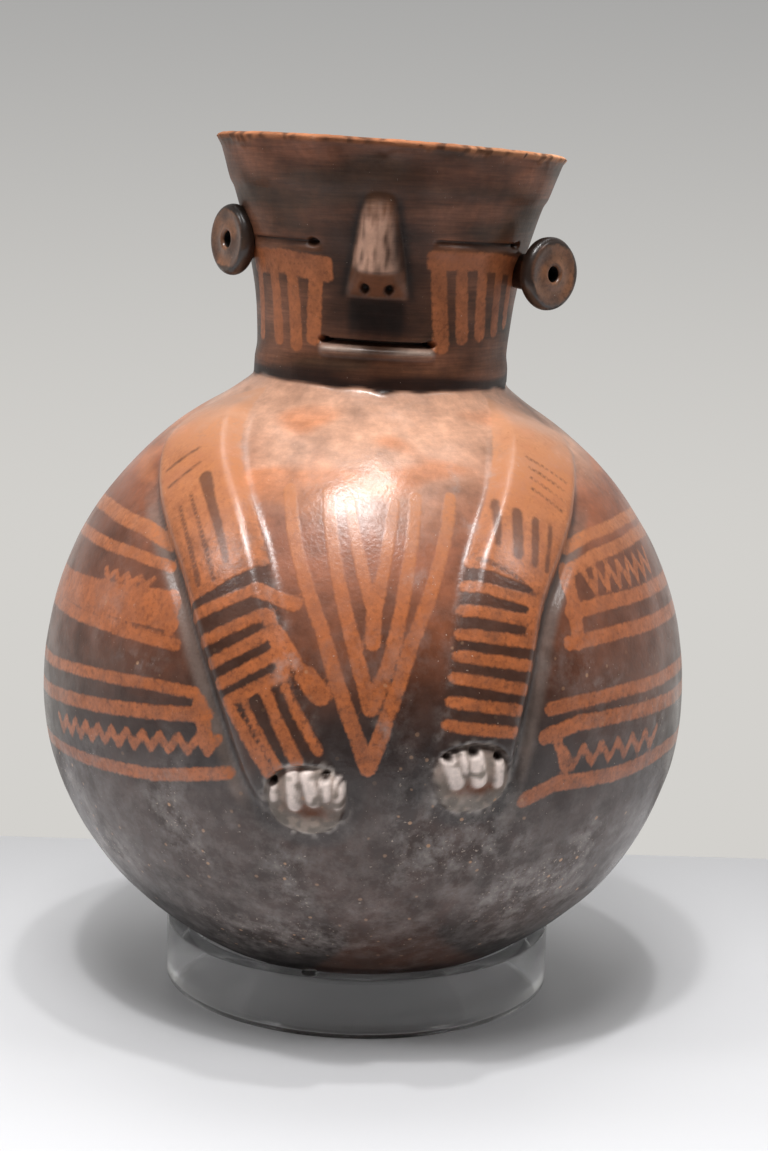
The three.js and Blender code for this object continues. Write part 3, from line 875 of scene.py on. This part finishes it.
def make_pad(name, angle, material):
    """Soft clear dome on the ring's top."""
    profile = [(0.0, 0.0), (PAD_RADIUS - 0.15, 0.0)]
    for turn in np.radians(np.linspace(8, 90, 9)):
        profile.append((PAD_RADIUS * math.cos(turn), PAD_HEIGHT * math.sin(turn)))
    bm = turned(profile, 32)
    a = math.radians(angle)
    seat = (PAD_SEAT * math.sin(a), RING_SET_BACK - PAD_SEAT * math.cos(a), RING_HEIGHT + PAD_GAP)
    bmesh.ops.translate(bm, verts=bm.verts, vec=seat)
    bmesh.ops.scale(bm, verts=bm.verts, vec=(MM, MM, MM))
    return finished(name, bm, material)


def painted_clay():
    """Fired clay, slipped dark, painted with orange slip and burnished with a stone: a satin body
    under a thin polished skin, level brush streaks, soft stroke edges and pale specks of wear."""
    material = bpy.data.materials.new("painted_burnished_clay")
    material.use_nodes = True
    tree = material.node_tree
    tree.nodes.clear()
    place = add_node(tree, "ShaderNodeTexCoord", "Object")
    ground, slip = [add_node(tree, ATTRIBUTE, "Color", attribute_name=name) for name in ("ground", "slip")]
    orange, dark, streak, dust_and_sheen, dull = [add_node(tree, ATTRIBUTE, "Fac", attribute_name=name)
                                        for name in ("orange", "dark", "streak", "dust_and_sheen", "dull")]

    # Grain of the clay (1.3 mm), wander of a brush edge (4 mm), clouds of the slip (16 mm), dry
    # brushing (5 mm) and level brush lines (1 mm).
    fine = add_node(tree, NOISE, "Fac", {"Vector": place, "Scale": 1 / (1.3 * MM), "Detail": 4.0})
    wander = add_node(tree, NOISE, "Fac", {"Vector": place, "Scale": 1 / (4.0 * MM), "Detail": 2.0})
    cloud = add_node(tree, NOISE, "Fac", {
        "Vector": place, "Scale": 1 / (16.0 * MM), "Detail": 6.0, "Roughness": 0.62})
    dry = add_node(tree, NOISE, "Fac", {
        "Vector": place, "Scale": 1 / (5.0 * MM), "Detail": 8.0, "Roughness": 0.72})
    level = add_node(tree, "ShaderNodeVectorMath", "Vector", {0: place, 1: (0.06, 0.06, 1.0)},
                     operation="MULTIPLY")
    brushed = add_node(tree, NOISE, "Fac", {
        "Vector": level, "Scale": 1 / (1.0 * MM), "Detail": 6.0, "Roughness": 0.7})

    # Ground slip: clouded and mottled, with level brush streaks.
    shade = add_node(tree, RANGE, "Result", {
        "Value": cloud, "From Min": 0.3, "From Max": 0.7, "To Min": 0.62, "To Max": 1.42})
    mottle = add_node(tree, RANGE, "Result", {
        "Value": dry, "From Min": 0.32, "From Max": 0.68, "To Min": 0.6, "To Max": 1.45})
    lines = add_node(tree, RANGE, "Result", {
        "Value": brushed, "From Min": 0.32, "From Max": 0.68, "To Min": 0.5, "To Max": 1.5})
    for share, tone in ((1.0, shade), (0.4, mottle), (streak, lines)):
        ground = add_node(tree, MIX, 2, {0: share, 6: ground, 7: tone},
                          data_type="RGBA", blend_type="MULTIPLY")

    # Orange strokes with soft, slightly wandering edges; thin where the brush ran dry.
    swing = add_node(tree, MATH, 0, {0: wander, 1: 0.8, 2: -0.4}, operation="MULTIPLY_ADD")
    swing = add_node(tree, MATH, 0, {0: fine, 1: 0.9, 2: swing}, operation="MULTIPLY_ADD")
    edge = add_node(tree, MATH, 0, {0: orange, 1: swing}, operation="ADD")
    stroke = add_node(tree, RANGE, "Result", {"Value": edge, "From Min": 0.95, "From Max": -0.05},
                      interpolation_type="SMOOTHSTEP")
    edge = add_node(tree, MATH, 0, {0: dark, 1: swing}, operation="ADD")
    gap = add_node(tree, RANGE, "Result", {"Value": edge, "From Min": 1.0, "From Max": -0.1, "To Max": 0.7},
                   interpolation_type="SMOOTHSTEP")
    cover = add_node(tree, RANGE, "Result", {
        "Value": dry, "From Min": 0.66, "From Max": 0.4, "To Min": 0.45, "To Max": 0.97})
    grain = add_node(tree, RANGE, "Result", {
        "Value": fine, "From Min": 0.5, "From Max": 0.72, "To Min": 1.0, "To Max": 0.55})
    cover = add_node(tree, MATH, 0, {0: cover, 1: grain}, operation="MULTIPLY")
    cover = add_node(tree, MATH, 0, {0: cover, 1: stroke}, operation="MULTIPLY")

    # A pale film in clouds, which is rubbed dust and, low on the belly, a painted sheen; pale specks of
    # wear; and crumbs of tan soil about a millimetre wide and 6 mm apart.
    film_and_sheen = add_node(tree, NOISE, "Fac", {
        "Vector": place, "Scale": 1 / (6.0 * MM), "Detail": 8.0, "Roughness": 0.66})
    film_and_sheen = add_node(tree, RANGE, "Result", {
        "Value": film_and_sheen, "From Min": 0.42, "From Max": 0.72, "To Max": 0.62})
    film_and_sheen = add_node(tree, MATH, 0, {0: film_and_sheen, 1: dust_and_sheen}, operation="MULTIPLY")
    speck = add_node(tree, NOISE, "Fac", {"Vector": place, "Scale": 1 / (0.9 * MM), "Detail": 3.0})
    speck = add_node(tree, MATH, 0, {0: dust_and_sheen, 1: 0.08, 2: speck}, operation="MULTIPLY_ADD")
    speck = add_node(tree, RANGE, "Result", {
        "Value": speck, "From Min": 0.73, "From Max": 0.81, "To Max": 0.7})
    crumb = add_node(tree, "ShaderNodeTexVoronoi", "Distance", {"Vector": place, "Scale": 1 / (6.0 * MM)})
    crumb = add_node(tree, MATH, 0, {0: fine, 1: 0.1, 2: crumb}, operation="MULTIPLY_ADD")
    crumb = add_node(tree, RANGE, "Result", {"Value": crumb, "From Min": 0.17, "From Max": 0.12})
    crumb = add_node(tree, MATH, 0, {0: crumb, 1: dust_and_sheen}, operation="MULTIPLY")

    # Colours, laid one over the other.
    colour = ground
    for share, over in ((cover, slip), (gap, linear("4a2e24")), (film_and_sheen, linear("a69d98")),
                        (speck, linear("cdb9a8")), (crumb, linear("b98f6d"))):
        colour = add_node(tree, MIX, 2, {0: share, 6: colour, 7: over}, data_type="RGBA")

    # Satin body, polished skin where the burnish is kept, and the grain and the strokes' edges as bump.
    rough = add_node(tree, RANGE, "Result", {
        "Value": dry, "From Min": 0.3, "From Max": 0.7, "To Min": 0.4, "To Max": 0.6})
    rough = add_node(tree, MATH, 0, {0: dull, 1: 0.4, 2: rough}, operation="MULTIPLY_ADD")
    polish = add_node(tree, RANGE, "Result", {
        "Value": cloud, "From Min": 0.36, "From Max": 0.62, "To Min": 0.5, "To Max": 1.0})
    skin = add_node(tree, MATH, 0, {0: 1.0, 1: dull}, operation="SUBTRACT")
    skin = add_node(tree, MATH, 0, {0: skin, 1: polish}, operation="MULTIPLY")
    height = add_node(tree, MATH, 0, {0: cover, 1: 0.5, 2: fine}, operation="MULTIPLY_ADD")
    height = add_node(tree, MATH, 0, {0: speck, 1: 0.6, 2: height}, operation="MULTIPLY_ADD")
    bump = add_node(tree, "ShaderNodeBump", "Normal", {
        "Strength": 0.28, "Distance": 0.3 * MM, "Height": height})
    surface = add_node(tree, "ShaderNodeBsdfPrincipled", "BSDF", {
        "Base Color": colour, "Roughness": rough, "Normal": bump, "IOR": 1.5, "Specular IOR Level": 0.25,
        "Coat Weight": skin, "Coat Roughness": 0.25, "Coat IOR": 1.5, "Coat Normal": bump})
    add_node(tree, "ShaderNodeOutputMaterial", None, {"Surface": surface})
    return material


def clear_plastic(name, tint, roughness, ior):
    """Clear cast plastic: polished, with a faint tint in the thickness."""
    material = bpy.data.materials.new(name)
    material.use_nodes = True
    shader = material.node_tree.nodes["Principled BSDF"]
    shader.inputs["Base Color"].default_value = linear(tint)
    shader.inputs["Roughness"].default_value = roughness
    shader.inputs["IOR"].default_value = ior
    shader.inputs["Transmission Weight"].default_value = 1.0
    shader.inputs["Alpha"].default_value = 0.85
    return material


def white_laminate():
    """White laminate of the table: even, matt, with no grain to see."""
    material = bpy.data.materials.new("white_laminate")
    material.use_nodes = True
    shader = material.node_tree.nodes["Principled BSDF"]
    shader.inputs["Base Color"].default_value = linear("dadadc")
    shader.inputs["Roughness"].default_value = 0.5
    return material


def lit_wall():
    """Grey wall that glows, with a painted wash of light from below, so it darkens softly upwards."""
    material = bpy.data.materials.new("grey_wall")
    material.use_nodes = True
    tree = material.node_tree
    tree.nodes.clear()
    place = add_node(tree, "ShaderNodeTexCoord", "Object")
    height = add_node(tree, "ShaderNodeSeparateXYZ", "Z", {0: place})
    tone = add_node(tree, RANGE, "Result", {"Value": height, "From Min": -0.2, "From Max": 0.75},
                    interpolation_type="SMOOTHSTEP")
    colour = add_node(tree, MIX, 2, {0: tone, 6: linear("d3d1cd"), 7: linear("989898")},
                      data_type="RGBA")
    glow = add_node(tree, "ShaderNodeEmission", 0, {"Color": colour})
    add_node(tree, "ShaderNodeOutputMaterial", None, {"Surface": glow})
    return material


def make_stage():
    """White table in front of a grey wall that curves round the back and the sides."""
    table = bmesh.new()
    bmesh.ops.create_cube(table, size=1.0)
    bmesh.ops.scale(table, verts=table.verts, vec=(2.4, 0.6, 0.03))
    bmesh.ops.translate(table, verts=table.verts, vec=(0, -0.165, -0.0151))
    finished("table", table, white_laminate())
    wall = bmesh.new()
    start = math.radians(-100)
    ends = [wall.verts.new((1.7 * math.sin(start), 1.7 * math.cos(start), z)) for z in (-0.5, 1.6)]
    edge = wall.edges.new(ends)
    bmesh.ops.spin(wall, geom=ends + [edge], cent=(0, 0, 0), axis=(0, 0, -1),
                   angle=math.radians(200), steps=24)
    finished("wall", wall, lit_wall())


def add_area(name, place, aim, size, power):
    """Flat light that looks from a place to an aim."""
    lamp = bpy.data.lights.new(name, "AREA")
    lamp.shape = "RECTANGLE"
    lamp.size, lamp.size_y = size
    lamp.energy = power
    made = bpy.data.objects.new(name, lamp)
    made.location = place
    made.rotation_euler = (Vector(aim) - Vector(place)).to_track_quat("-Z", "Y").to_euler()
    bpy.context.scene.collection.objects.link(made)


def make_light():
    """Gallery light in a dim room: two small spots almost overhead that throw the double shadow,
    a soft panel in front, a spot far out on each side and a pale ceiling over the back."""
    add_area("spot_right", (0.15, -0.24, 2.2), (0, 0, 0.1), (0.1, 0.1), 11.0)
    add_area("spot_left", (-0.24, -0.68, 2.2), (0, 0, 0.1), (0.12, 0.12), 17.0)
    add_area("front_panel", (-0.14, -0.85, 2.15), (0, 0, 0.2), (0.8, 0.6), 26.0)
    add_area("far_left", (-1.9, -0.9, 2.1), (0, 0, 0.1), (0.5, 0.5), 15.0)
    add_area("far_right", (1.9, -0.7, 2.1), (0, 0, 0.1), (0.5, 0.5), 10.0)
    add_area("ceiling", (0.0, 0.8, 2.4), (0, 0.15, 0), (1.8, 1.2), 17.0)
    world = bpy.data.worlds.new("room")
    bpy.context.scene.world = world
    world.use_nodes = True
    back = world.node_tree.nodes["Background"]
    back.inputs["Color"].default_value = linear("e8e8ea")
    back.inputs["Strength"].default_value = 0.06


def make_camera():
    """Camera of the photograph: 70 mm lens, a little above the lip's level, looking down."""
    pitch, roll = math.radians(10.603), math.radians(1.709)
    forward = Vector((0, math.cos(pitch), -math.sin(pitch)))
    right = Vector((1, 0, 0))
    up = right.cross(forward)
    turned_right = right * math.cos(roll) + up * math.sin(roll)
    turned_up = up * math.cos(roll) - right * math.sin(roll)
    view = Matrix((turned_right, turned_up, -forward)).transposed().to_4x4()
    view.translation = Vector((5.57, -717.6 + RING_SET_BACK, 268.6)) * MM
    lens = bpy.data.cameras.new("photo_camera")
    lens.lens = 70
    lens.sensor_width = 36
    lens.clip_start = 0.01
    camera = bpy.data.objects.new("photo_camera", lens)
    camera.matrix_world = view
    bpy.context.scene.collection.objects.link(camera)
    bpy.context.scene.camera = camera


make_camera()
clay = painted_clay()
for piece in (make_bottle(clay), make_ear("ear_disc_left", LEFT_EAR, clay),
              make_ear("ear_disc_right", RIGHT_EAR, clay)):
    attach(piece, "root")
    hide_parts("bottle")
ring = make_ring(clear_plastic("clear_acrylic", "fafafa", 0.02, 1.49))
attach(ring, "root")
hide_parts("ring_stand")
silicone = clear_plastic("clear_silicone", "f2f2ee", 0.12, 1.41)
for number, angle in enumerate(PAD_ANGLES, 1):
    pad = make_pad(f"clear_pad_{number}", angle, silicone)
    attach(pad, "root")
    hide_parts(f"pad_{number}")
make_stage()
make_light()
bpy.context.scene.view_settings.view_transform = "Standard"
